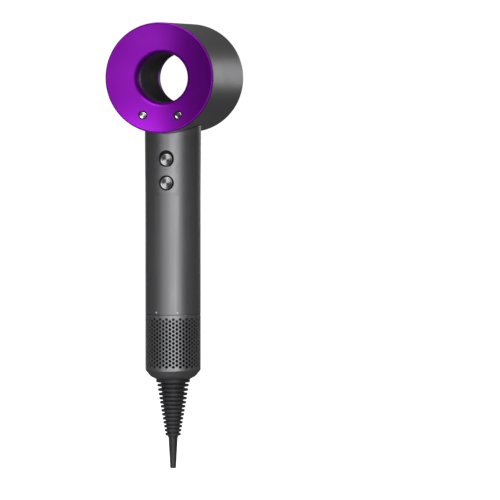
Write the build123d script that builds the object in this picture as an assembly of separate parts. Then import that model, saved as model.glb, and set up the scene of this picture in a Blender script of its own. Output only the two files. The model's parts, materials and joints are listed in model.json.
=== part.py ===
from build123d import *
import math
import os

# Hair dryer with an open bore through its head.
# +Z runs up the handle axis, +Y along the bore towards the air outlet, and -Y is the control side.
# The origin is the centre of the straight grip. All sizes are in millimetres.

# ---------------------------------------------------------------- driving dimensions
BORE_HEIGHT = 126.0       # bore axis above the origin
BORE_R = 17.5
HEAD_R = 39.0             # drum radius
HEAD_REAR = -41.0         # y of the control-side rim
HEAD_FRONT = 56.0         # y of the outlet-side rim
GRIP_R = 19.7             # straight part of the handle, and the filter cage
NECK_R = 20.05            # handle radius at the head
FIT = 0.05                # gap between fixed pieces
SLIDE_GAP = 0.35          # gap around pieces that move


def below(depth):
    """Height of a level given as a distance below the bore axis."""
    return BORE_HEIGHT - depth


# handle, from the head down
TAPER_END = below(82.35)
NECK_START = below(39.0)
SEAM = below(168.1)       # joint between the handle tube and the filter cage
SEAM_GAP = 0.25
HANDLE_IN_R = 18.1
SADDLE_GAP = 0.5          # gap between the handle's top edge and the drum, for the gasket
LINER_R = 16.0
LINER_FLAT = -12.8        # y of the flat that makes room for the switches
LINER_TOP = below(34.5)
LINER_BOTTOM = below(100.0)
LINER_WALL = 1.0

# handle controls, on the -Y side
SLIDER_Z = below(57.85)
SLIDER_R = 4.35
SLIDER_FLAT = 4.15        # flat edge below the disc's centre
SLIDER_TRAVEL = 1.6
COLD_Z = below(74.4)
COLD_R = 4.4
COLD_TRAVEL = 1.0
LENS_Z = below(65.4)
LENS_R = 0.8
LENS_FACE_Y = -19.6
RECESS_R = 5.45
RECESS_TOP = below(51.15)
RECESS_FLOOR = below(62.9)
COLD_RECESS_R = 5.45
BEZEL_LIP = 0.45
BEZEL_HALF_W = 6.6
BEZEL_BACK_R = 16.1
BEZEL_LOW = below(82)
BEZEL_HIGH = below(49)
WELL_Y = -17.0            # floor of both wells
DISC_Y = -20.1            # face of both discs
DISC_T = 1.35
BOARD_Y = -13.0           # back face of the switch board
BOARD_T = 1.0
PIP_R = 0.6
PIP_Z = below(166.4)
PIP_ANGLE = 23.25         # from the middle of the control side to each pip, degrees

# filter cage
CAGE_WALL = 1.2
CAGE_HOLE_R = 1.08
CAGE_COLUMNS = 50
CAGE_ROWS = 13
CAGE_PITCH = 2.816        # from hole to hole in a column
CAGE_TURN = -3.4          # turn of the first column from +X, degrees
CAGE_FIRST_ROW = below(171.25)
CAGE_SHOULDER = below(208.05)
CAGE_KNEE_R = 16.1
CAGE_KNEE = below(212.5)
CAGE_BOTTOM = below(214.4)
CAGE_MOUTH_R = 12.4

# cord guard
GUARD_RINGS = 14
GUARD_TOP_R = 12.1
GUARD_RING_R = 11.75      # first ring; each next one is smaller by the step
GUARD_RING_STEP = 0.48
GUARD_BORE_R = 1.5        # way for the cord's conductors, also through the clamp
GUARD_END = below(278.3)

# motor
SHAFT_R = 1.5
SHROUD_IN_R = 14.1
SHROUD_R = 15.2
HUB_R = 9.5
BLADES = 13
VANES = 15

# head
SHELL_WALL = 1.8
GUIDE_R = 35.2            # outside of the air guide's wall
GUIDE_WALL = 1.0
GUIDE_REAR = -27.6
BORE_TUBE_R = 18.7
THROAT = -24.5            # y where the flange's funnel meets the bore tube
FUNNEL_START = -29.3      # y where the funnel's sleeve leaves the flange
LIP_START = 27.5          # y where the bore begins to flare
FLARE_R = 48.0            # radius of the flare along the bore
LIP_WALL = 1.2
SEAT_Y = 54.5             # face that attachments rest on
LIP_FRONT = SEAT_Y - 1.2
SLOT_R = 27.8             # outer edge of the annular air slot
SKIRT_R = 30.2            # outside of the front ring's skirt
FRONT_RIM = 2.6           # width of the drum's rim around the outlet face
FLANGE_TILT = 22.6        # slope of the flange at the buttons, degrees
BUTTON_X = 12.75
BUTTON_DROP = 26.4        # below the bore axis
BUTTON_Y = -36.87
BUTTON_R = 2.55
BUTTON_WELL_R = 3.4
BUTTON_TRAVEL = 0.8
BUTTON_STEM = 4.3         # from a button's face to the end of its stem
POST_R = 32.6             # radius of the circle of cowl screws

BORE_AXIS = Axis((0, 0, BORE_HEIGHT), (0, 1, 0))


# ---------------------------------------------------------------- helpers
def closed_outline(points, place):
    """Face from (radius, along[, fillet]) points, set in space by place(radius, along)."""
    corners = [place(p[0], p[1]) for p in points]
    fillets = [p[2] if len(p) > 2 else 0 for p in points]
    return make_face(FilletPolyline(*corners, radius=fillets, close=True))


def turned(*points):
    """Solid of revolution about the handle axis from (radius, z[, fillet]) points."""
    return revolve(closed_outline(points, lambda r, z: (r, 0, z)), Axis.Z)


def head_point(r, y):
    """Point above the bore axis."""
    return (0, y, BORE_HEIGHT + r)


def head_turned(*points):
    """Solid of revolution about the bore axis from (radius, y[, fillet]) points."""
    return revolve(closed_outline(points, head_point), BORE_AXIS)


def tube(r_out, r_in, z_low, z_high):
    return turned((r_in, z_low), (r_out, z_low), (r_out, z_high), (r_in, z_high))


def head_tube(r_out, r_in, y_low, y_high):
    return head_turned((r_in, y_low), (r_out, y_low), (r_out, y_high), (r_in, y_high))


def rod(radius, z_low, z_high, x=0, y=0):
    return Pos(x, y, (z_low + z_high) / 2) * Cylinder(radius, z_high - z_low)


def rod_y(radius, y_low, y_high, x=0, z=0):
    return Pos(x, (y_low + y_high) / 2, z) * Rot(90, 0, 0) * Cylinder(radius, y_high - y_low)


def block(low, high):
    """Box between two corners."""
    size = [b - a for a, b in zip(low, high)]
    centre = [(a + b) / 2 for a, b in zip(low, high)]
    return Pos(*centre) * Box(*size)


def prism_y(sketch, y_low, y_high):
    """Extrude an (x, z) sketch between two y values."""
    return Pos(0, y_high, 0) * extrude(Plane.XZ * sketch, amount=y_high - y_low)


def around_z(count, shape, start=0):
    return [Rot(0, 0, start + i * 360 / count) * shape for i in range(count)]


def bore_rod(radius):
    """Cylinder along the bore axis, longer than the head."""
    return rod_y(radius, HEAD_REAR - 5, HEAD_FRONT + 5, 0, BORE_HEIGHT)


def coil_spring(radius, wire_r, height, turns):
    """Coil spring that stands on z = 0."""
    rise = height - 2 * wire_r
    path = Pos(0, 0, wire_r) * Helix(rise / turns, rise, radius)
    return sweep(Plane(path @ 0, z_dir=path % 0) * Circle(wire_r), path=path, is_frenet=True)


# ---------------------------------------------------------------- handle
def handle_tube():
    top = below(30)
    body = turned((HANDLE_IN_R, SEAM), (GRIP_R, SEAM, 0.3), (GRIP_R, TAPER_END, 400),
                  (NECK_R, NECK_START), (NECK_R, top), (HANDLE_IN_R, top))
    body -= bore_rod(HEAD_R + SADDLE_GAP)
    body -= prism_y(slider_recess(0) + cold_recess(0), -25, -10)
    body -= rod_y(LENS_R, -25, -10, 0, LENS_Z)
    return body - pip_rods(PIP_R, GRIP_R - 0.55)


def slider_recess(inset):
    """Outline of the upper recess: two discs one above the other, with a flat bottom."""
    radius = RECESS_R - inset
    high = RECESS_TOP - RECESS_R
    low = high - 1.25
    outline = Pos(0, high) * Circle(radius) + Pos(0, low) * Circle(radius)
    outline += Pos(0, (high + low) / 2) * Rectangle(2 * radius, high - low)
    return outline - Pos(0, RECESS_FLOOR + inset - 5) * Rectangle(20, 10)


def cold_recess(inset):
    return Pos(0, COLD_Z) * Circle(COLD_RECESS_R - inset)


def pip_rods(radius, r_in):
    """Two short radial rods beside the foot of the handle."""
    depth = GRIP_R + 0.5 - r_in
    rods = []
    for side in (-1, 1):
        turn = Rot(0, 0, -90 + side * PIP_ANGLE)
        rods.append(turn * Pos(r_in + depth / 2, 0, PIP_Z) * Rot(0, 90, 0) * Cylinder(radius, depth))
    return rods


def alignment_pips():
    rods = pip_rods(PIP_R - FIT / 2, GRIP_R - 0.5)
    return Compound([Part() + r & rod(GRIP_R, PIP_Z - 2, PIP_Z + 2) for r in rods])


def handle_surface(grow):
    """Solid inside the handle tube's outer surface, over the height of the controls."""
    low, high = BEZEL_LOW - 3, BEZEL_HIGH + 3
    share = (high - TAPER_END) / (NECK_START - TAPER_END)
    return turned((0, low), (GRIP_R + grow, low), (GRIP_R + grow, TAPER_END),
                  (GRIP_R + share * (NECK_R - GRIP_R) + grow, high), (0, high))


def button_bezel():
    plate = tube(HANDLE_IN_R - FIT, BEZEL_BACK_R, BEZEL_LOW, BEZEL_HIGH)
    plate &= block((-BEZEL_HALF_W, -20, BEZEL_LOW), (BEZEL_HALF_W, -10, BEZEL_HIGH))
    bosses = prism_y(slider_recess(FIT) + cold_recess(FIT), -20, -17.5) & handle_surface(-0.25)
    body = plate + bosses
    body -= prism_y(slider_recess(BEZEL_LIP) + cold_recess(BEZEL_LIP), -25, WELL_Y)
    slot_h = 2 * SLIDE_GAP + 2 + SLIDER_TRAVEL
    body -= block((-1.1, -20, SLIDER_Z - 1 - SLIDE_GAP), (1.1, -10, SLIDER_Z - 1 - SLIDE_GAP + slot_h))
    body -= rod_y(1.5, -20, -10, 0, COLD_Z)
    return body - rod_y(LENS_R - 0.2, -20, -10, 0, LENS_Z)


def status_lens():
    return rod_y(LENS_R - FIT, LENS_FACE_Y, -HANDLE_IN_R - FIT, 0, LENS_Z)


def spun_disc(radius, thickness):
    """Button cap with a rounded rim and a shallow dish; its face is at z = 0."""
    rim = radius - 0.55
    return turned((0, -thickness), (radius - 0.15, -thickness), (radius, 0.15 - thickness),
                  (radius, 0, 0.35), (rim, 0, 0.3), (rim - 0.5, -0.16, 0.3), (0, -0.26))


FACING_USER = Rot(90, 0, 0)     # turns local +Z to -Y


def power_slider():
    cap = spun_disc(SLIDER_R, DISC_T) - Pos(0, -SLIDER_FLAT - 1, 0) * Box(8, 2, 4)
    cap = Pos(0, DISC_Y, SLIDER_Z) * FACING_USER * cap
    stem = block((-0.75, DISC_Y + DISC_T - 0.1, SLIDER_Z - 1), (0.75, -15.0, SLIDER_Z + 1))
    return cap + stem


def cold_shot_button():
    cap = Pos(0, DISC_Y, COLD_Z) * FACING_USER * spun_disc(COLD_R, DISC_T)
    return cap + rod_y(1.15, DISC_Y + DISC_T - 0.1, -15.6, 0, COLD_Z)


def cold_shot_spring():
    height = WELL_Y - DISC_Y - DISC_T - 2 * FIT
    return Pos(0, WELL_Y - FIT, COLD_Z) * FACING_USER * coil_spring(2.2, 0.15, height, 2)


def switch_board():
    return block((-7, BOARD_Y - BOARD_T, BEZEL_LOW), (7, BOARD_Y, below(51.6)))


def slide_switch():
    front = BOARD_Y - BOARD_T - FIT - 1.6
    body = block((-3.2, front, SLIDER_Z - 4), (3.2, BOARD_Y - BOARD_T - FIT, SLIDER_Z + 5.6))
    return body - block((-1.1, front - 1, SLIDER_Z - 1 - SLIDE_GAP),
                        (1.1, front + 1.1, SLIDER_Z + 1 + SLIDE_GAP + SLIDER_TRAVEL))


def tact_switch():
    front = BOARD_Y - BOARD_T - FIT - 1.75
    body = block((-3, front, COLD_Z - 3), (3, BOARD_Y - BOARD_T - FIT, COLD_Z + 3))
    return body - rod_y(1.5, front - 1, front + COLD_TRAVEL + 0.45, 0, COLD_Z)


def duct_liner():
    """Air duct in the upper handle, with a flat side behind the controls."""
    outside = rod(LINER_R, LINER_BOTTOM, LINER_TOP)
    outside -= block((-20, -20, below(110)), (20, LINER_FLAT, below(20)))
    inside = rod(LINER_R - LINER_WALL, below(110), below(20))
    inside -= block((-20, -20, below(111)), (20, LINER_FLAT + LINER_WALL, below(19)))
    return outside - inside - drum_inside_guide()


def drum_inside_guide():
    """Space inside the saddle flange of the neck collar."""
    return bore_rod(GUIDE_R - GUIDE_WALL - 1.6)


# ---------------------------------------------------------------- neck
NECK_SCREWS = [(x, y) for x in (-4, 4) for y in (-19.1, 19.1)]


def neck_collar():
    """Tube that ties the handle to the head, with a saddle flange inside the head."""
    outer = GUIDE_R - GUIDE_WALL - FIT
    stem = tube(HANDLE_IN_R - FIT, LINER_R + 0.2, below(44.5), below(20)) - bore_rod(outer - 1.4)
    flange = bore_rod(outer) - bore_rod(outer - 1.4)
    flange &= rod(21, below(45), below(20)) - rod(LINER_R + 0.2, below(46), below(19))
    return stem + flange - neck_screw_rods(0.95)


def neck_screw_rods(radius):
    return [rod(radius, below(37.9), below(25), x, y) for x, y in NECK_SCREWS]


def neck_screws():
    screws = []
    for x, y in NECK_SCREWS:
        seat = below(math.sqrt((GUIDE_R - GUIDE_WALL - 1.5) ** 2 - (abs(x) + 1.5) ** 2))
        screws.append(rod(0.9, below(37.8), seat + 0.5, x, y) + rod(1.5, seat + 0.35, seat + 1.3, x, y))
    return Compound(screws)


def neck_gasket():
    ring = tube(GRIP_R - 0.15, HANDLE_IN_R + 0.2, below(45), below(20))
    return ring & (bore_rod(HEAD_R + SADDLE_GAP - FIT) - bore_rod(HEAD_R + FIT))


# ---------------------------------------------------------------- motor
def motor_sleeve():
    """Rubber mount around the motor, with three soft ribs against the handle."""
    low, high = below(159.9), below(111.5)
    body = tube(HANDLE_IN_R - 0.9, SHROUD_R + FIT, low, high)
    for depth in (116, 137, 158):
        body += turned((16.5, below(depth + 1.8)), (HANDLE_IN_R - FIT, below(depth + 1.2), 0.4),
                       (HANDLE_IN_R - FIT, below(depth - 1.2), 0.4), (16.5, below(depth - 1.8)))
    return body


def motor_shroud():
    return turned((SHROUD_IN_R, below(160)), (SHROUD_R, below(160)), (SHROUD_R, below(114), 0.4),
                  (SHROUD_IN_R, below(114), 0.4))


def inlet_bell():
    """Flared ring that leads the air into the impeller."""
    return turned((SHROUD_IN_R, below(160.1)), (SHROUD_R, below(160.1)), (16.3, below(162.5)),
                  (16.3, below(164.8), 0.4), (15.5, below(164.8), 0.3), (SHROUD_IN_R, below(162.6), 1.2))


def blade_ring(count, r_in, r_out, low, high, tilt, thickness):
    """Tilted flat blades between two radii."""
    middle = (low + high) / 2
    blade = Pos((r_in + r_out) / 2, 0, middle) * Rot(tilt, 0, 0) * Box(r_out - r_in + 4, thickness, 30)
    return (Part() + around_z(count, blade)) & tube(r_out, r_in, low, high)


def impeller():
    hub = turned((SHAFT_R + 0.02, below(158)), (3.4, below(158), 0.8), (HUB_R - 0.2, below(150.6)),
                 (HUB_R - 0.2, below(149.4)), (SHAFT_R + 0.02, below(149.4)))
    blades = blade_ring(BLADES, 6.8, SHROUD_IN_R - 0.35, below(156), below(149.6), 48, 0.7)
    return hub + (blades - (turned((0, below(157)), (5.0, below(157)), (6.9, below(153)), (0, below(153)))))


def diffuser_vanes():
    hub = turned((3.55, below(148.7)), (HUB_R, below(148.7), 0.3), (HUB_R, below(140)),
                 (HUB_R - 1.1, below(140)), (HUB_R - 1.1, below(145.6)), (5.2, below(145.6)),
                 (5.2, below(143.2)), (3.55, below(143.2)))
    return hub + blade_ring(VANES, HUB_R - 0.5, SHROUD_IN_R - FIT, below(148.2), below(141), -30, 0.7)


def stator_core():
    low, high = below(138), below(128)
    body = tube(HUB_R - 1.2, 6.9, low, high)
    pole = block((4.5, -1.6, low), (7.1, 1.6, high))
    shoe = tube(5.3, 4.5, low, high) & block((3, -2.6, low), (6, 2.6, high))
    return body + around_z(4, pole) + around_z(4, shoe)


def stator_coils():
    """Four windings, one around each pole."""
    low, high = below(139.6), below(126.4)
    winding = block((5.45, -2.4, low), (6.4, 2.4, high)) - block((5, -1.65, low + 1.55), (7, 1.65, high - 1.55))
    return Compound([Part() + w for w in around_z(4, winding)])


def motor_shaft():
    return turned((0, below(158.8)), (SHAFT_R, below(158.8), 0.3), (SHAFT_R, below(119), 0.3), (0, below(119)))


def rotor_magnet():
    return tube(4.1, SHAFT_R + 0.02, below(138.4), below(127.6))


def bearing(low):
    """Shaft bearing, 3 mm tall."""
    return turned((SHAFT_R + FIT, low), (3.5, low, 0.3), (3.5, low + 3, 0.3), (SHAFT_R + FIT, low + 3))


def bearing_bridge():
    """Three arms that hold the upper bearing in the shroud."""
    low, high = below(124), below(120.4)
    arm = block((4.5, -1.1, low), (13.5, 1.1, high))
    return tube(5.2, 3.55, low, high) + around_z(3, arm) + tube(SHROUD_IN_R - FIT, 13.2, low, high)


def motor_board():
    low, high = below(117.8), below(116.6)
    body = rod(8.8, low, high) - rod(2, low - 1, high + 1)
    for x, y, height in ((4.5, 3, 3.2), (-4.5, 3, 2.2), (0, -5, 2.6)):
        body += rod(1.6, high - 0.1, high + height, x, y)
    return body


# ---------------------------------------------------------------- air inlet
def inlet_frame():
    """Skeleton below the motor: a ring in the handle, five ribs and a boss for the cord guard."""
    ring = turned((16.4, below(174)), (17.95, below(174)), (17.95, below(163)), (16.4, below(163)))
    rib_points = [(16.4, 172.5), (17.6, 172.5), (17.6, 205.5), (13.0, 211.4), (7.0, 211.4), (7.0, 208.6),
                  (11.8, 208.6), (16.0, 203.5), (16.4, 203.5)]
    profile = make_face(Polyline(*[(r, 0, below(depth)) for r, depth in rib_points], close=True))
    rib = extrude(profile, amount=0.9, both=True)
    disc = tube(12.6, 5.2, below(211.4), below(209.0))
    boss = tube(8.0, 5.2, below(211.4), below(207))
    return ring + around_z(5, rib, 18) + disc + boss - clamp_screw_rods(0.85)


def filter_mesh():
    return tube(17.93, 17.68, below(205), below(174.1))


def cage_outline():
    inner_r = GRIP_R - CAGE_WALL
    knee_shift = 0.85
    return [(GRIP_R, SEAM - SEAM_GAP, 0.3), (GRIP_R, CAGE_SHOULDER, 1.6), (CAGE_KNEE_R, CAGE_KNEE, 6),
            (CAGE_MOUTH_R, CAGE_BOTTOM, 0.25), (CAGE_MOUTH_R, CAGE_BOTTOM + 1.25),
            (CAGE_KNEE_R - knee_shift, CAGE_KNEE + 1.0, 4.5), (inner_r, CAGE_SHOULDER + 0.5, 0.8),
            (inner_r, SEAM - SEAM_GAP)]


def filter_cage():
    """Perforated sleeve with a rounded base, open at the bottom around the cord guard."""
    drills = []
    for column in range(CAGE_COLUMNS):
        staggered = column % 2
        for row in range(CAGE_ROWS - staggered):
            z = CAGE_FIRST_ROW - (row + staggered / 2) * CAGE_PITCH
            turn = Rot(0, 0, CAGE_TURN + column * 360 / CAGE_COLUMNS)
            drills.append(turn * Pos(GRIP_R, 0, z) * Rot(0, 90, 0) * Cylinder(CAGE_HOLE_R, 4))
    return turned(*cage_outline()) - drills


# ---------------------------------------------------------------- cord guard
def ring_level(i):
    """Height of a guard ring's middle: the pitch falls from 3.4 mm to 2.8 mm."""
    return below(215.6 + 2.8 * i + 2.0 * (1 - math.exp(-i / 3)))


def guard_outline():
    """Right-hand side of the guard from its top plug down to the end of its tail."""
    points = [(GUARD_BORE_R, below(206.9)), (5.1, below(206.9)), (5.1, below(211.5)),
              (GUARD_TOP_R - 0.4, below(211.5)), (GUARD_TOP_R - 0.4, ring_level(0) + 1.25)]
    for i in range(GUARD_RINGS):
        middle = ring_level(i)
        ring_r = GUARD_RING_R - GUARD_RING_STEP * i if i else GUARD_TOP_R
        core_r = max(8.7 - 0.37 * i, 4.4)
        half = 0.75 if i else 1.2
        points += [(ring_r, middle + half, 0.45), (ring_r, middle - half, 0.45)]
        if i < GUARD_RINGS - 1:
            points += [(core_r, middle - half - 0.35, 0.34), (core_r, ring_level(i + 1) + 1.05, 0.34)]
    tail_top = ring_level(GUARD_RINGS - 1) - 1.1
    return points + [(3.9, tail_top, 0.5), (3.25, tail_top - 1.6, 1.5), (2.05, GUARD_END, 0.3),
                     (GUARD_BORE_R, GUARD_END)]


def cord_guard():
    return turned(*guard_outline())


def clamp_screw_rods(radius):
    return [rod(radius, below(210.4), below(200), x) for x in (-6.6, 6.6)]


def cord_clamp():
    return tube(8.0, GUARD_BORE_R, below(206.85), below(205.2)) - clamp_screw_rods(0.85)


def clamp_screws():
    screws = []
    for x in (-6.6, 6.6):
        slot = block((x - 2, -0.2, below(204.5)), (x + 2, 0.2, below(204)))
        head = rod(1.3, below(205.15), below(204.1), x) - slot
        screws.append(head + rod(0.8, below(210.3), below(205.1), x))
    return Compound(screws)


# ---------------------------------------------------------------- head
def head_shell():
    """Grey drum with a rounded front edge and a hole for the neck."""
    rear = HEAD_REAR + 2.15
    inside, rim = HEAD_R - SHELL_WALL, HEAD_R - FRONT_RIM
    body = head_turned((inside, rear), (HEAD_R, rear, 0.2), (HEAD_R, HEAD_FRONT, 2.2),
                       (rim, HEAD_FRONT, 0.5), (rim, HEAD_FRONT - 3, 0.4), (inside, HEAD_FRONT - 4))
    body -= rod(HANDLE_IN_R, below(45), below(20))
    return body - neck_screw_rods(0.95)


def rear_cowl():
    """Concave flange with a rounded rim, a funnel, a spigot inside the drum and four posts."""
    at = head_point
    edge = HEAD_R - 0.02
    outline = [
        Line(at(edge, -38.95), at(edge, -40.1)),
        ThreePointArc(at(edge, -40.1), at(38.72, -40.73), at(38.1, HEAD_REAR)),
        ThreePointArc(at(38.1, HEAD_REAR), at(37.78, -40.93), at(37.5, -40.75)),
        ThreePointArc(at(37.5, -40.75), at(28.9, -36.8), at(20.6, -33.7)),
        ThreePointArc(at(20.6, -33.7), at(19.27, -32.86), at(18.48, -31.49)),
        ThreePointArc(at(18.48, -31.49), at(17.745, -28.03), at(BORE_R, THROAT)),
        Line(at(BORE_R, THROAT), at(BORE_TUBE_R, THROAT)),
        Line(at(BORE_TUBE_R, THROAT), at(BORE_TUBE_R, FUNNEL_START)),
        ThreePointArc(at(BORE_TUBE_R, FUNNEL_START), at(19.45, -31.25), at(21.04, -32.37)),
        ThreePointArc(at(21.04, -32.37), at(28.9, -35.35), at(35.2, -38.05)),
        Line(at(35.2, -38.05), at(35.2, -33.6)),
        Line(at(35.2, -33.6), at(36.9, -33.6)),
        Line(at(36.9, -33.6), at(36.9, -38.95)),
        Line(at(36.9, -38.95), at(edge, -38.95)),
    ]
    body = revolve(make_face(outline), BORE_AXIS)
    for post in post_rods(1.5, -37.5, GUIDE_REAR - FIT):
        body += post
    for hole in post_rods(0.85, -34.5, -20):
        body -= hole
    for side in (-1, 1):
        body -= button_plane(side) * Cylinder(BUTTON_WELL_R, 12)
    return body


def post_rods(radius, y_low, y_high):
    """Rods at the four cowl screws."""
    rods = []
    for angle in (45, 135, 225, 315):
        x = POST_R * math.sin(math.radians(angle))
        z = POST_R * math.cos(math.radians(angle))
        rods.append(rod_y(radius, y_low, y_high, x, BORE_HEIGHT + z))
    return rods


def cowl_screws():
    heads = post_rods(1.4, GUIDE_REAR + 1.0 + FIT, GUIDE_REAR + 2.2)
    shanks = post_rods(0.8, -34.2, GUIDE_REAR + 1.2)
    return Compound([h + s for h, s in zip(heads, shanks)])


def button_plane(side):
    """Plane on the flange at a head button; its z axis points out of the flange."""
    reach = math.hypot(BUTTON_X, BUTTON_DROP)
    tilt = math.radians(FLANGE_TILT)
    inward = math.sin(tilt) / reach
    out = Vector(-side * BUTTON_X * inward, -math.cos(tilt), BUTTON_DROP * inward)
    return Plane(origin=(side * BUTTON_X, BUTTON_Y, below(BUTTON_DROP)), x_dir=(1, 0, 0), z_dir=out)


def button_wells():
    """Two black cups that line the holes in the flange."""
    cup = turned((1.15, -3.2), (BUTTON_WELL_R - FIT, -3.2), (BUTTON_WELL_R - FIT, -0.2, 0.15),
                 (BUTTON_WELL_R - 0.5, -0.2, 0.15), (BUTTON_WELL_R - 0.5, -2.4), (1.15, -2.4))
    return Compound([button_plane(side) * cup for side in (-1, 1)])


def head_button(side):
    return button_plane(side) * (spun_disc(BUTTON_R, 1.3) + rod(0.85, -BUTTON_STEM, -1.2))


def head_button_spring(side):
    return button_plane(side) * Pos(0, 0, -2.4 + FIT) * coil_spring(1.6, 0.12, 1.0, 2)


def head_switches():
    """Two tact switches under the head buttons."""
    floor = -BUTTON_STEM - BUTTON_TRAVEL - 0.1
    switch = block((-2, -2, floor - 0.2), (2, 2, -3.5)) - rod(1.15, floor, -3.4)
    return Compound([button_plane(side) * switch for side in (-1, 1)])


def control_board():
    """Ring-shaped board behind the flange, with its larger components."""
    body = head_tube(30.9, 21.0, -30.9, -29.8)
    for angle, reach, radius, height in ((0, 26, 3, 2.2), (40, 27, 2, 2.5), (-40, 27, 2, 2.5),
                                         (100, 26, 2.5, 1.8), (-100, 26, 2.5, 1.8)):
        x = reach * math.sin(math.radians(angle))
        z = reach * math.cos(math.radians(angle))
        body += rod_y(radius, -30.9 - height, -30.8, x, BORE_HEIGHT + z)
    return body


def bore_seal():
    """Ring between the flange's funnel and the air guide."""
    return head_tube(20.2, BORE_TUBE_R + FIT, FUNNEL_START + FIT, GUIDE_REAR - FIT)


def bore_tube():
    return head_tube(BORE_TUBE_R, BORE_R, THROAT + FIT, LIP_START - FIT)


def flare_point(radius, turn):
    """Point on a circle about the centre of the flare's arc."""
    return head_point(BORE_R + FLARE_R - radius * math.cos(turn), LIP_START + radius * math.sin(turn))


def outlet_lip():
    """Coloured flare that ends the bore and forms the inner edge of the air slot."""
    end = math.asin((LIP_FRONT - LIP_START) / FLARE_R)
    inner, outer = FLARE_R, FLARE_R - LIP_WALL
    nose = flare_point(FLARE_R - LIP_WALL / 2, end)
    tip = (0, nose[1] + LIP_WALL / 2 * math.cos(end), nose[2] + LIP_WALL / 2 * math.sin(end))
    outline = [
        ThreePointArc(flare_point(inner, 0), flare_point(inner, end / 2), flare_point(inner, end)),
        ThreePointArc(flare_point(inner, end), tip, flare_point(outer, end)),
        ThreePointArc(flare_point(outer, end), flare_point(outer, end / 2), flare_point(outer, 0)),
        Line(flare_point(outer, 0), flare_point(inner, 0)),
    ]
    return revolve(make_face(outline), BORE_AXIS)


def front_ring():
    """Outlet face: outer edge of the air slot and the flat that attachments rest on."""
    outer = HEAD_R - FRONT_RIM - FIT
    back, low = SEAT_Y - 1.5, SEAT_Y - 5.4
    return head_turned((SLOT_R, SEAT_Y, 0.7), (SLOT_R, SEAT_Y - 3.2, 0.6), (SKIRT_R - 1, low),
                       (SKIRT_R, low), (SKIRT_R, back), (outer, back), (outer, SEAT_Y, 0.4))


def magnet_ring():
    """Steel ring behind the outlet face that holds the attachments."""
    return head_tube(GUIDE_R - GUIDE_WALL - 0.1, SKIRT_R + FIT, SEAT_Y - 4.0, SEAT_Y - 1.5 - FIT)


def air_guide():
    """Inner wall of the head: a rear wall in front of the electronics and a tube around the heater."""
    wall = head_tube(36.9, BORE_TUBE_R + FIT, GUIDE_REAR, GUIDE_REAR + 1)
    sleeve = head_tube(GUIDE_R, GUIDE_R - GUIDE_WALL, GUIDE_REAR + 0.5, SEAT_Y - 1.55)
    body = wall + sleeve - rod(HANDLE_IN_R, below(45), below(20)) - neck_screw_rods(0.95)
    for hole in post_rods(0.85, -34, -20):
        body -= hole
    for side in (-1, 1):
        body -= rod_y(0.9, GUIDE_REAR - 2, GUIDE_REAR + 3, side * WIRE_HEAD_X, WIRE_HEAD_Z)
    return body


def acoustic_liner():
    """Foam between the drum and the air guide."""
    body = head_tube(HEAD_R - SHELL_WALL - 0.1, GUIDE_R + FIT, -25.5, 48)
    return body - rod(HANDLE_IN_R, below(45), below(20)) - neck_screw_rods(0.95)


HEATER_LOW, HEATER_HIGH = 1.0, 31.0
HEATER_COIL_R = 25.0
HEATER_WIRE_R = 1.1
HEATER_LEVELS = [HEATER_LOW + 3 + 6 * i for i in range(5)]


def heater_frame():
    """Mica tube with eight fins, notched where the coils run."""
    body = head_tube(20.0, 19.4, HEATER_LOW, HEATER_HIGH)
    fin = block((19.8, HEATER_LOW, -0.3), (29.5, HEATER_HIGH, 0.3))
    for i in range(8):
        body += Pos(0, 0, BORE_HEIGHT) * Rot(0, i * 45 + 22.5, 0) * fin
    for y in HEATER_LEVELS:
        body -= coil_ring(y, HEATER_WIRE_R + FIT)
    return body


def coil_ring(y, radius):
    return Pos(0, y, BORE_HEIGHT) * Rot(90, 0, 0) * Torus(HEATER_COIL_R, radius)


def heater_coils():
    return Compound([coil_ring(y, HEATER_WIRE_R) for y in HEATER_LEVELS])


def thermal_cutout():
    return rod_y(1.7, 10, 20, 0, BORE_HEIGHT + 31.5)


def thermistor():
    return rod_y(1.0, 38, 42, 0, BORE_HEIGHT + 26) + rod_y(0.4, HEATER_HIGH + FIT, 38.2, 0, BORE_HEIGHT + 26)


# ---------------------------------------------------------------- wiring
WIRE_R = 0.6
WIRE_HEAD_X = 5.0
WIRE_HEAD_Z = below(28.6)


def wiring_loom():
    """Two leads from the motor board past the switch board to the control board."""
    leads = []
    for side in (-1, 1):
        route = [(side * 5.6, -6.0, below(116.55)), (side * 5.6, -6.0, below(112)),
                 (side * 9.4, -14.4, below(105)), (side * 9.4, -14.4, below(50.6)),
                 (side * WIRE_HEAD_X, -14.3, below(46)), (side * WIRE_HEAD_X, -14.3, WIRE_HEAD_Z),
                 (side * WIRE_HEAD_X, -29.7, WIRE_HEAD_Z)]
        path = FilletPolyline(*route, radius=[3, 3, 3, 3, 3])
        leads.append(sweep(Plane(path @ 0, z_dir=path % 0) * Circle(WIRE_R), path=path))
    return Compound([Part() + lead for lead in leads])


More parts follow.
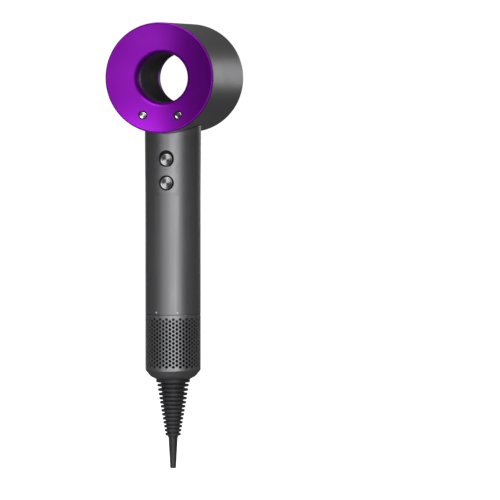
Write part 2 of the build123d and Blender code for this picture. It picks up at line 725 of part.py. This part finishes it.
# ---------------------------------------------------------------- the parts
PARTS = {
    "handle_tube": handle_tube(),
    "button_bezel": button_bezel(),
    "power_slider": power_slider(),
    "cold_shot_button": cold_shot_button(),
    "cold_shot_spring": cold_shot_spring(),
    "status_lens": status_lens(),
    "alignment_pips": alignment_pips(),
    "switch_board": switch_board(),
    "slide_switch": slide_switch(),
    "tact_switch": tact_switch(),
    "duct_liner": duct_liner(),
    "neck_collar": neck_collar(),
    "neck_screws": neck_screws(),
    "neck_gasket": neck_gasket(),
    "motor_sleeve": motor_sleeve(),
    "motor_shroud": motor_shroud(),
    "inlet_bell": inlet_bell(),
    "impeller": impeller(),
    "diffuser_vanes": diffuser_vanes(),
    "stator_core": stator_core(),
    "stator_coils": stator_coils(),
    "motor_shaft": motor_shaft(),
    "rotor_magnet": rotor_magnet(),
    "bearing_lower": bearing(below(147.8)),
    "bearing_upper": bearing(below(123.8)),
    "bearing_bridge": bearing_bridge(),
    "motor_board": motor_board(),
    "inlet_frame": inlet_frame(),
    "filter_mesh": filter_mesh(),
    "filter_cage": filter_cage(),
    "cord_guard": cord_guard(),
    "cord_clamp": cord_clamp(),
    "clamp_screws": clamp_screws(),
    "head_shell": head_shell(),
    "rear_cowl": rear_cowl(),
    "cowl_screws": cowl_screws(),
    "button_wells": button_wells(),
    "airflow_button": head_button(-1),
    "heat_button": head_button(1),
    "airflow_spring": head_button_spring(-1),
    "heat_spring": head_button_spring(1),
    "head_switches": head_switches(),
    "control_board": control_board(),
    "bore_seal": bore_seal(),
    "bore_tube": bore_tube(),
    "outlet_lip": outlet_lip(),
    "front_ring": front_ring(),
    "magnet_ring": magnet_ring(),
    "air_guide": air_guide(),
    "acoustic_liner": acoustic_liner(),
    "heater_frame": heater_frame(),
    "heater_coils": heater_coils(),
    "thermal_cutout": thermal_cutout(),
    "thermistor": thermistor(),
    "wiring_loom": wiring_loom(),
}

os.makedirs("parts", exist_ok=True)
for name, shape in PARTS.items():
    export_step(shape, f"parts/{name}.step")
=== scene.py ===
import json
import math

import bmesh
import bpy
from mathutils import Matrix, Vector


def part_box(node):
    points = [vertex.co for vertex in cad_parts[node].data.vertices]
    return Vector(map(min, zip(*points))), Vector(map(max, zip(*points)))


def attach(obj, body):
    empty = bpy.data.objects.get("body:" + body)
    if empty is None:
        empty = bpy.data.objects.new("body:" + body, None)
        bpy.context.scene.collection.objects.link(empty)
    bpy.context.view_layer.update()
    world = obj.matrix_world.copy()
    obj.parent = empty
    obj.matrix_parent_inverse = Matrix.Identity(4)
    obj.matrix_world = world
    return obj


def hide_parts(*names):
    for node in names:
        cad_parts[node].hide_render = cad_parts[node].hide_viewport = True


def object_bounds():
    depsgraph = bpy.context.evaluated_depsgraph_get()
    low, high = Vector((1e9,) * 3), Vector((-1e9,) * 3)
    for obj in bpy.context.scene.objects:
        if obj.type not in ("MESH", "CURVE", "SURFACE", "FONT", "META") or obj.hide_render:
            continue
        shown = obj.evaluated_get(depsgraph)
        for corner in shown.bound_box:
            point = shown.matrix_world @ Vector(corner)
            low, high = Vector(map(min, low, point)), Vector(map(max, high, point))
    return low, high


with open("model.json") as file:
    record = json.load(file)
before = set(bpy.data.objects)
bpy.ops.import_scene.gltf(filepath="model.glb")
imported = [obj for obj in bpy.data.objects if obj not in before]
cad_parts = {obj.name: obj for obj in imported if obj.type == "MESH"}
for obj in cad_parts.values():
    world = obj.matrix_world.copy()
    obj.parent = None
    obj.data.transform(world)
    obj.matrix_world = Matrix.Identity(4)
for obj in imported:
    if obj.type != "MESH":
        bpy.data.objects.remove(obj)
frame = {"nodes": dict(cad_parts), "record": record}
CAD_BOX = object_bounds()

NODES = frame["nodes"]
SLOTS = {row["node"]: row["material_slot"] for row in frame["record"]["subparts"]}
MM = 0.001


# ---------------------------------------------------------------- places, from the frame
def middle(node):
    """Centre of a node's box at rest."""
    low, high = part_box(node)
    return (Vector(low) + Vector(high)) / 2


BORE_CENTRE = middle("bore_tube")
MESH_LOW, MESH_HIGH = (Vector(corner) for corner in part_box("filter_mesh"))


# ---------------------------------------------------------------- material building blocks
NOISE_ROUGHNESS = 0.55
NOISE_LOW, NOISE_HIGH = 0.3, 0.7       # where nearly all values of a noise lie
EDGE_START, EDGE_END = 0.52, 0.58      # pointiness of a surface that counts as an edge


class Paint:
    """A node material around one Principled shader, with short calls for its usual nodes."""

    def __init__(self, name, color, roughness, metallic=0.0):
        self.mat = bpy.data.materials.new(name)
        self.mat.use_nodes = True
        self.tree = self.mat.node_tree
        self.shader = self.tree.nodes["Principled BSDF"]
        self.set("Base Color", (*color, 1.0))
        self.set("Roughness", roughness)
        self.set("Metallic", metallic)
        self.color = color
        self.normal = None
        self.coords = self.add("ShaderNodeTexCoord").outputs["Object"]

    def add(self, kind, **values):
        node = self.tree.nodes.new(kind)
        for key, value in values.items():
            setattr(node, key, value)
        return node

    def link(self, output, socket):
        self.tree.links.new(output, socket)

    def set(self, socket, value):
        self.shader.inputs[socket].default_value = value

    def noise(self, scale, detail=3.0, stretch=(1, 1, 1)):
        """Noise over the object's own coordinates; scale is in cells per metre."""
        mapping = self.add("ShaderNodeMapping")
        mapping.inputs["Scale"].default_value = stretch
        self.link(self.coords, mapping.inputs["Vector"])
        node = self.add("ShaderNodeTexNoise")
        node.inputs["Scale"].default_value = scale
        node.inputs["Detail"].default_value = detail
        node.inputs["Roughness"].default_value = NOISE_ROUGHNESS
        self.link(mapping.outputs["Vector"], node.inputs["Vector"])
        return node.outputs["Fac"]

    def cells(self, scale):
        """Distance to the nearest point of a random scatter."""
        node = self.add("ShaderNodeTexVoronoi")
        node.inputs["Scale"].default_value = scale
        self.link(self.coords, node.inputs["Vector"])
        return node.outputs["Distance"]

    def about_y(self, node):
        """Object coordinates flattened along Y, measured from a CAD node's centre."""
        centre = middle(node)
        mapping = self.add("ShaderNodeMapping")
        mapping.inputs["Location"].default_value = (-centre.x, 0, -centre.z)
        mapping.inputs["Scale"].default_value = (1, 0, 1)
        self.link(self.coords, mapping.inputs["Vector"])
        return mapping.outputs["Vector"]

    def length(self, vector):
        node = self.add("ShaderNodeVectorMath", operation="LENGTH")
        self.link(vector, node.inputs[0])
        return node.outputs["Value"]

    def math(self, operation, a, b=None):
        node = self.add("ShaderNodeMath", operation=operation)
        for socket, value in zip(node.inputs, (a, b)):
            if value is None:
                continue
            if isinstance(value, (int, float)):
                socket.default_value = value
            else:
                self.link(value, socket)
        return node.outputs["Value"]

    def remap(self, value, low, high, start=0.0, end=1.0):
        """Value from the range start to end, moved to the range low to high."""
        node = self.add("ShaderNodeMapRange")
        self.link(value, node.inputs["Value"])
        node.inputs["From Min"].default_value = start
        node.inputs["From Max"].default_value = end
        node.inputs["To Min"].default_value = low
        node.inputs["To Max"].default_value = high
        return node.outputs["Result"]

    def ramp(self, value, *stops):
        """Base colour from a ramp of (position, color) stops."""
        node = self.add("ShaderNodeValToRGB")
        while len(node.color_ramp.elements) < len(stops):
            node.color_ramp.elements.new(0.5)
        for element, (position, color) in zip(node.color_ramp.elements, stops):
            element.position = position
            element.color = (*color, 1.0)
        self.link(value, node.inputs["Fac"])
        self.link(node.outputs["Color"], self.shader.inputs["Base Color"])

    def vary(self, value, spread, tint=(1, 1, 1)):
        """Colour that drifts a little to each side of the base colour."""
        dark = tuple(max(0, c * (1 - spread)) for c in self.color)
        light = tuple(min(1, c * (1 + spread) * t) for c, t in zip(self.color, tint))
        self.ramp(value, (NOISE_LOW, dark), (NOISE_HIGH, light))

    def rough(self, value, low, high):
        """Roughness between two values, led by a noise."""
        spread = self.remap(value, low, high, NOISE_LOW, NOISE_HIGH)
        self.link(spread, self.shader.inputs["Roughness"])

    def bump(self, value, height_mm):
        """Bump from a 0 to 1 value, its height in millimetres; calls stack."""
        node = self.add("ShaderNodeBump")
        node.inputs["Distance"].default_value = height_mm * MM
        self.link(value, node.inputs["Height"])
        if self.normal:
            self.link(self.normal, node.inputs["Normal"])
        self.normal = node.outputs["Normal"]
        self.link(self.normal, self.shader.inputs["Normal"])

    def worn_edges(self, color, share=0.5):
        """A slightly lighter base colour along convex edges."""
        geometry = self.add("ShaderNodeNewGeometry")
        edge = self.remap(geometry.outputs["Pointiness"], 0, share, EDGE_START, EDGE_END)
        mix = self.add("ShaderNodeMix", data_type="RGBA")
        source = self.shader.inputs["Base Color"].links
        if source:
            self.link(source[0].from_socket, mix.inputs["A"])
        else:
            mix.inputs["A"].default_value = (*self.color, 1.0)
        mix.inputs["B"].default_value = (*color, 1.0)
        self.link(edge, mix.inputs["Factor"])
        self.link(mix.outputs["Result"], self.shader.inputs["Base Color"])


# ---------------------------------------------------------------- materials
def metallic_paint(name, color, roughness, metallic):
    """Satin paint with fine metal flakes under a thin clear coat."""
    paint = Paint(name, color, roughness, metallic)
    flakes = paint.noise(4200, 1.0)
    cloud = paint.noise(35, 3.0)
    paint.vary(flakes, 0.10)
    paint.rough(cloud, roughness - 0.025, roughness + 0.03)
    paint.bump(paint.noise(2600, 2.0), 0.0022)
    paint.bump(paint.noise(240, 2.0), 0.004)
    paint.worn_edges(tuple(min(1, c * 1.5) for c in color), 0.35)
    paint.set("Coat Weight", 0.12)
    paint.set("Coat Roughness", 0.32)
    return paint.mat


def purple_paint():
    """Pearl purple: coloured metal flakes in a smooth satin coat."""
    paint = Paint("purple_pearl", (0.30, 0.004, 0.49), 0.46, 0.90)
    flakes = paint.noise(5200, 1.0)
    paint.ramp(flakes, (0.3, (0.27, 0.003, 0.45)), (0.7, (0.33, 0.005, 0.54)))
    paint.rough(paint.noise(40, 3.0), 0.45, 0.50)
    paint.bump(paint.noise(3000, 2.0), 0.0018)
    paint.set("Coat Weight", 0.08)
    paint.set("Coat Roughness", 0.28)
    paint.set("Coat Tint", (0.85, 0.55, 1.0, 1.0))
    return paint.mat


GROOVE_PITCH = 0.16                # millimetres from one turned ring to the next
PAINTED_HIGHLIGHT_TURN = math.radians(38)      # direction of the painted highlight wedge, clockwise from straight up
LENS_RADIUS = 0.8                  # millimetres
METAL_GRAIN = 1500                 # noise cells per metre


def spun_chrome(node):
    """Chrome turned on a lathe: rings around the button's own axis, and painted highlight and painted shade
    in conic wedges of the base colour.
    """
    paint = Paint("spun_chrome_" + node, (0.70, 0.70, 0.71), 0.2, 1.0)
    place = paint.about_y(node)
    grooves = 2 * math.pi / (GROOVE_PITCH * MM)
    rings = paint.math("SINE", paint.math("MULTIPLY", paint.length(place), grooves))
    paint.bump(paint.remap(rings, 0, 1, -1, 1), 0.0003)
    paint.rough(paint.noise(600, 2.0), 0.24, 0.30)
    # base colour by angle round the button's axis: painted highlight wedges alternating with painted shade
    # wedges
    parts = paint.add("ShaderNodeSeparateXYZ")
    paint.link(place, parts.inputs["Vector"])
    angle = paint.math("ARCTAN2", parts.outputs["X"], parts.outputs["Z"])
    painted_light_wedge = paint.math("COSINE", paint.math("MULTIPLY", paint.math("SUBTRACT", angle, PAINTED_HIGHLIGHT_TURN), 2))
    paint.ramp(paint.remap(painted_light_wedge, 0, 1, -1, 1),
               (0.15, (0.10, 0.10, 0.105)), (0.5, (0.30, 0.30, 0.305)), (0.9, (0.86, 0.86, 0.87)))
    tangent = paint.add("ShaderNodeTangent", direction_type="RADIAL", axis="Y")
    paint.link(tangent.outputs["Tangent"], paint.shader.inputs["Tangent"])
    paint.set("Anisotropic", 0.6)
    return paint.mat


def moulded(name, color, roughness, grain=900, depth=0.01):
    """Moulded plastic or rubber with a fine spark-eroded grain."""
    paint = Paint(name, color, roughness)
    paint.vary(paint.noise(60, 4.0), 0.16)
    paint.rough(paint.noise(160, 3.0), roughness - 0.06, roughness + 0.06)
    paint.bump(paint.noise(grain * 2, 3.0), depth)
    paint.bump(paint.cells(grain), depth * 0.6)
    paint.worn_edges(tuple(min(1, c * 1.7 + 0.01) for c in color), 0.4)
    return paint.mat


def rubber():
    """Soft black rubber with a dusty bloom on its edges."""
    paint = Paint("guard_rubber", (0.034, 0.034, 0.037), 0.42)
    paint.vary(paint.noise(120, 4.0), 0.3, (1.05, 1.05, 1.1))
    paint.rough(paint.noise(300, 3.0), 0.34, 0.48)
    paint.bump(paint.noise(1800, 3.0), 0.012)
    paint.bump(paint.cells(700), 0.006)
    paint.worn_edges((0.05, 0.05, 0.055), 0.6)
    paint.set("Sheen Weight", 0.15)
    paint.set("Sheen Roughness", 0.5)
    return paint.mat


def metal(name, color, roughness, stretch=(1, 1, 1)):
    """Plain metal with a rolled or turned grain."""
    paint = Paint(name, color, roughness, 1.0)
    paint.vary(paint.noise(80, 4.0), 0.14)
    paint.rough(paint.noise(METAL_GRAIN, 3.0, stretch), roughness - 0.08, roughness + 0.1)
    paint.bump(paint.noise(METAL_GRAIN, 2.0, stretch), 0.006)
    return paint.mat


def winding():
    """Enamelled copper wire laid in turns."""
    paint = Paint("copper_winding", (0.62, 0.25, 0.10), 0.28, 0.9)
    wave = paint.add("ShaderNodeTexWave", wave_type="BANDS", bands_direction="Z")
    wave.inputs["Scale"].default_value = 900
    wave.inputs["Distortion"].default_value = 1.5
    paint.link(paint.coords, wave.inputs["Vector"])
    paint.bump(wave.outputs["Fac"], 0.08)
    paint.vary(paint.noise(400, 3.0), 0.2)
    return paint.mat


def board():
    """Solder mask with faint copper tracks under it."""
    paint = Paint("board_mask", (0.012, 0.12, 0.045), 0.3)
    tracks = paint.add("ShaderNodeTexBrick")
    tracks.inputs["Scale"].default_value = 260
    tracks.inputs["Color1"].default_value = (0.012, 0.12, 0.045, 1)
    tracks.inputs["Color2"].default_value = (0.014, 0.14, 0.055, 1)
    tracks.inputs["Mortar"].default_value = (0.03, 0.20, 0.07, 1)
    paint.link(paint.coords, tracks.inputs["Vector"])
    paint.link(tracks.outputs["Color"], paint.shader.inputs["Base Color"])
    paint.bump(tracks.outputs["Fac"], 0.02)
    paint.rough(paint.noise(300, 2.0), 0.24, 0.38)
    return paint.mat


def foam():
    """Open-cell foam."""
    paint = Paint("open_foam", (0.05, 0.05, 0.055), 0.95)
    pore_bump_and_painted_shade = paint.cells(900)
    # darker at the pore centres, the low points of the bump: painted shade in the pores
    paint.ramp(pore_bump_and_painted_shade, (0.1, (0.008, 0.008, 0.009)), (0.6, (0.075, 0.075, 0.08)))
    paint.bump(pore_bump_and_painted_shade, 0.25)
    paint.set("Sheen Weight", 0.3)
    return paint.mat


def mica():
    """Layered mica sheet."""
    paint = Paint("mica_sheet", (0.50, 0.42, 0.32), 0.4)
    paint.ramp(paint.noise(220, 6.0), (0.35, (0.36, 0.29, 0.21)), (0.65, (0.62, 0.55, 0.45)))
    paint.bump(paint.noise(500, 4.0), 0.03)
    paint.rough(paint.noise(260, 3.0), 0.25, 0.55)
    return paint.mat


def lens():
    """Clear light guide: a pale core in a dark sleeve."""
    paint = Paint("light_guide", (0.60, 0.60, 0.62), 0.3)
    reach = paint.length(paint.about_y("status_lens"))
    paint.ramp(paint.remap(reach, 0, 1, 0.0, LENS_RADIUS * MM),
               (0.45, (0.90, 0.90, 0.92)), (0.62, (0.02, 0.02, 0.022)))
    paint.rough(paint.noise(700, 2.0), 0.25, 0.4)
    return paint.mat


def pale_pip():
    """White moulded dots at the foot of the handle."""
    paint = Paint("pip_white", (0.88, 0.88, 0.88), 0.5)
    paint.vary(paint.noise(1500, 2.0), 0.06)
    paint.bump(paint.noise(2500, 2.0), 0.004)
    return paint.mat


MATERIALS = {
    "handle_paint": metallic_paint("handle_paint", (0.34, 0.34, 0.355), 0.42, 0.90),
    "cage_metal": metallic_paint("cage_paint", (0.34, 0.34, 0.352), 0.42, 0.90),
    "front_satin": moulded("front_satin", (0.060, 0.060, 0.064), 0.42, 1200, 0.006),
    "purple": purple_paint(),
    "black_plastic": moulded("black_plastic", (0.010, 0.010, 0.011), 0.5),
    "bore_plastic": moulded("bore_plastic", (0.020, 0.020, 0.021), 0.72, 1000, 0.006),
    "grey_plastic": moulded("grey_plastic", (0.06, 0.06, 0.065), 0.5),
    "guard_rubber": rubber(),
    "lens": lens(),
    "pip_white": pale_pip(),
    # near-black steel: the colour is painted shade behind the cage's holes, not the steel's own tone
    "mesh_steel": metal("mesh_steel", (0.022, 0.022, 0.023), 0.6),
    "aluminium": metal("milled_aluminium", (0.62, 0.63, 0.64), 0.3, (1, 1, 6)),
    "steel": metal("plain_steel", (0.42, 0.42, 0.43), 0.33, (1, 1, 8)),
    "copper": winding(),
    "board_green": board(),
    "foam": foam(),
    "mica": mica(),
    "wire": moulded("silicone_wire", (0.30, 0.015, 0.012), 0.4, 500, 0.01),
}


def finish_cad_nodes():
    """Every CAD node gets the material of its slot; chrome follows each button's own axis."""
    for name, obj in NODES.items():
        slot = SLOTS[name]
        mat = spun_chrome(name) if slot == "button_chrome" else MATERIALS[slot]
        obj.data.materials.clear()
        obj.data.materials.append(mat)


# ---------------------------------------------------------------- pieces
def new_piece(name, mesh, mat, body):
    obj = bpy.data.objects.new(name, mesh)
    bpy.context.scene.collection.objects.link(obj)
    obj.data.materials.append(mat)
    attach(obj, body)
    return obj


def wire_strip(bm, points, radius, closed):
    """Four-sided wire through points; each entry is (point, outward, along)."""
    rows = []
    for point, out, side in points:
        corners = [point + out * radius, point + side * radius, point - out * radius, point - side * radius]
        rows.append([bm.verts.new(corner) for corner in corners])
    pairs = list(zip(rows, rows[1:]))
    if closed:
        pairs.append((rows[-1], rows[0]))
    for a, b in pairs:
        for i in range(4):
            j = (i + 1) % 4
            bm.faces.new((a[i], a[j], b[j], b[i]))
    if not closed:
        bm.faces.new(rows[0][::-1])
        bm.faces.new(rows[-1])


WEAVE_UPRIGHTS = 150
WEAVE_HOOPS = 42
WEAVE_BEND = 0.6         # how far a wire bends at a crossing, as a share of its radius
# millimetres; the insets are measured from the outside of the filter mesh
WIRE_RADIUS = 0.11
WEAVE_INSET = 0.16
BACKING_INSET = 0.25
BACKING_WALL = 0.04


def backing_ring(bm, r_in, r_out, low, high):
    """Thin closed sleeve, the fine felt that the wires lie on; like the wires it has the near-black colour
    that is painted shade behind the cage's holes.
    """
    section = [(r_in, low), (r_out, low), (r_out, high), (r_in, high)]
    rows = []
    for i in range(WEAVE_UPRIGHTS):
        angle = 2 * math.pi * i / WEAVE_UPRIGHTS
        rows.append([bm.verts.new((r * math.cos(angle), r * math.sin(angle), z)) for r, z in section])
    for a, b in zip(rows, rows[1:] + rows[:1]):
        for i in range(4):
            j = (i + 1) % 4
            bm.faces.new((a[i], b[i], b[j], a[j]))


def filter_weave():
    """Woven wire sleeve behind the cage's holes: upright wires and hoops that cross over and under, in
    near-black steel that is painted shade.
    """
    outer = (MESH_HIGH.x - MESH_LOW.x) / 2
    radius = outer - WEAVE_INSET * MM
    wire = WIRE_RADIUS * MM
    step = (MESH_HIGH.z - MESH_LOW.z - 2 * wire) / (WEAVE_HOOPS - 1)
    up = Vector((0, 0, 1))

    def crossing(i, j, sign):
        """Point, outward and sideways directions where upright i meets hoop j."""
        angle = 2 * math.pi * i / WEAVE_UPRIGHTS
        out = Vector((math.cos(angle), math.sin(angle), 0))
        side = Vector((-math.sin(angle), math.cos(angle), 0))
        bend = wire * (sign if (i + j) % 2 else -sign)
        height = MESH_LOW.z + wire + j * step
        return out * (radius + bend * WEAVE_BEND) + up * height, out, side

    bm = bmesh.new()
    for i in range(WEAVE_UPRIGHTS):
        wire_strip(bm, [crossing(i, j, 1) for j in range(WEAVE_HOOPS)], wire, False)
    for j in range(WEAVE_HOOPS):
        ring = [crossing(i, j, -1) for i in range(WEAVE_UPRIGHTS)]
        wire_strip(bm, [(point, out, up) for point, out, side in ring], wire, True)
    backing = outer - BACKING_INSET * MM
    backing_ring(bm, backing - BACKING_WALL * MM, backing, MESH_LOW.z + wire, MESH_HIGH.z - wire)
    mesh = bpy.data.meshes.new("filter_weave")
    bm.normal_update()
    bmesh.ops.recalc_face_normals(bm, faces=bm.faces)
    bm.to_mesh(mesh)
    bm.free()
    piece = new_piece("filter_weave", mesh, MATERIALS["mesh_steel"], "dryer")
    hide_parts("filter_mesh")


# ---------------------------------------------------------------- stage
VIEW_TURN = math.radians(13.9)     # the camera stands this far to the dryer's +X side
CAMERA_DISTANCE = 3.16
CAMERA_DROP = 0.008                # camera height below the bore axis
PIXELS_PER_METRE = 1404.0          # at the handle's axis, in a 500 pixel frame
FRAME_PIXELS = 500
AIM_RIGHT = 0.0549                 # the aim is this far to the right of the handle's axis
AIM_DOWN = 0.1146                  # and this far below the camera's height
SENSOR_MM = 36.0
FLOOR_RADIUS = 9.0
FLOOR_GAP = 0.03                   # the floor is this far below the cord guard's end
DOME_RADIUS = 12.0
ROOM_LIGHT = 0.068                 # even light from all round
LAMP_DISTANCE = 1.6
LAMP_TARGET = Vector((0, 0, 0.04))
# name, turn from the camera, rise (both in degrees), width, height (both in metres), watts
LAMPS = [
    ("front_wide", -11, 0, 2.6, 0.9, 4.2),
    ("front_tall", 16, 0, 1.0, 1.4, 2.9),
    ("front_strip", -4, 0, 0.6, 1.2, 1.4),
    ("top_front", -7, 38, 1.4, 0.8, 2.9),
    ("high", 0, 65, 1.2, 0.8, 12.9),
    ("low_front", -18, -40, 1.4, 0.7, 5.9),
    ("back_right", 150, 7, 0.5, 0.35, 0.72),
    ("back_left", -165, 8, 0.6, 1.2, 2.0),
]


def away(turn, rise, distance):
    """Point at an angle round the dryer from the camera's side, seen from the middle of the handle."""
    angle = VIEW_TURN + math.radians(turn)
    level = math.radians(rise)
    flat = distance * math.cos(level)
    return Vector((flat * math.sin(angle), -flat * math.cos(angle), distance * math.sin(level)))


def aim(obj, target):
    obj.rotation_euler = (target - obj.location).to_track_quat("-Z", "Y").to_euler()


def add_camera():
    camera = bpy.data.objects.new("camera", bpy.data.cameras.new("camera"))
    bpy.context.scene.collection.objects.link(camera)
    height = BORE_CENTRE.z - CAMERA_DROP
    camera.location = away(0, 0, CAMERA_DISTANCE) + Vector((0, 0, height))
    right = Vector((math.cos(VIEW_TURN), math.sin(VIEW_TURN), 0))
    aim(camera, right * AIM_RIGHT + Vector((0, 0, height - AIM_DOWN)))
    camera.data.sensor_width = SENSOR_MM
    camera.data.lens = PIXELS_PER_METRE * CAMERA_DISTANCE / FRAME_PIXELS * SENSOR_MM
    camera.data.clip_end = 100
    bpy.context.scene.camera = camera


def softbox(name, turn, rise, width, height, watts):
    """Rectangular lamp at an angle round the dryer, aimed at LAMP_TARGET."""
    lamp = bpy.data.lights.new(name, "AREA")
    lamp.shape = "RECTANGLE"
    lamp.size = width
    lamp.size_y = height
    lamp.energy = watts
    obj = bpy.data.objects.new(name, lamp)
    bpy.context.scene.collection.objects.link(obj)
    obj.location = away(turn, rise, LAMP_DISTANCE)
    aim(obj, LAMP_TARGET)
    obj.visible_camera = False


def glow(name, level, strength):
    """Stage material: a matt surface that glows by itself."""
    color = (level, level, level)
    paint = Paint(name, color, 0.9)
    paint.vary(paint.noise(3, 2.0), 0.01)
    paint.set("Emission Color", (*color, 1.0))
    paint.set("Emission Strength", strength)
    return paint.mat


def stage_object(name, bm, mat):
    mesh = bpy.data.meshes.new(name)
    bm.to_mesh(mesh)
    bm.free()
    mesh.materials.append(mat)
    obj = bpy.data.objects.new(name, mesh)
    bpy.context.scene.collection.objects.link(obj)
    return obj


def add_stage():
    """Pale floor under the dryer and a pale dome around everything, both without effect on its light."""
    bm = bmesh.new()
    bmesh.ops.create_circle(bm, cap_ends=True, segments=96, radius=FLOOR_RADIUS)
    floor = stage_object("floor", bm, glow("floor_pale", 0.95, 1.05))
    floor.location.z = CAD_BOX[0][2] - FLOOR_GAP
    bm = bmesh.new()
    bmesh.ops.create_icosphere(bm, subdivisions=4, radius=DOME_RADIUS)
    dome = stage_object("dome", bm, glow("dome_pale", 1.0, 1.0))
    for obj in (floor, dome):
        obj.visible_diffuse = False
        obj.visible_glossy = False
        obj.visible_transmission = False
        obj.visible_shadow = False


def add_light():
    scene = bpy.context.scene
    world = bpy.data.worlds.new("studio")
    world.use_nodes = True
    world.node_tree.nodes["Background"].inputs["Color"].default_value = (1, 1, 1, 1)
    world.node_tree.nodes["Background"].inputs["Strength"].default_value = ROOM_LIGHT
    scene.world = world
    scene.view_settings.view_transform = "Standard"
    scene.view_settings.look = "None"
    for lamp in LAMPS:
        softbox(*lamp)


add_camera()
finish_cad_nodes()
filter_weave()
add_stage()
add_light()
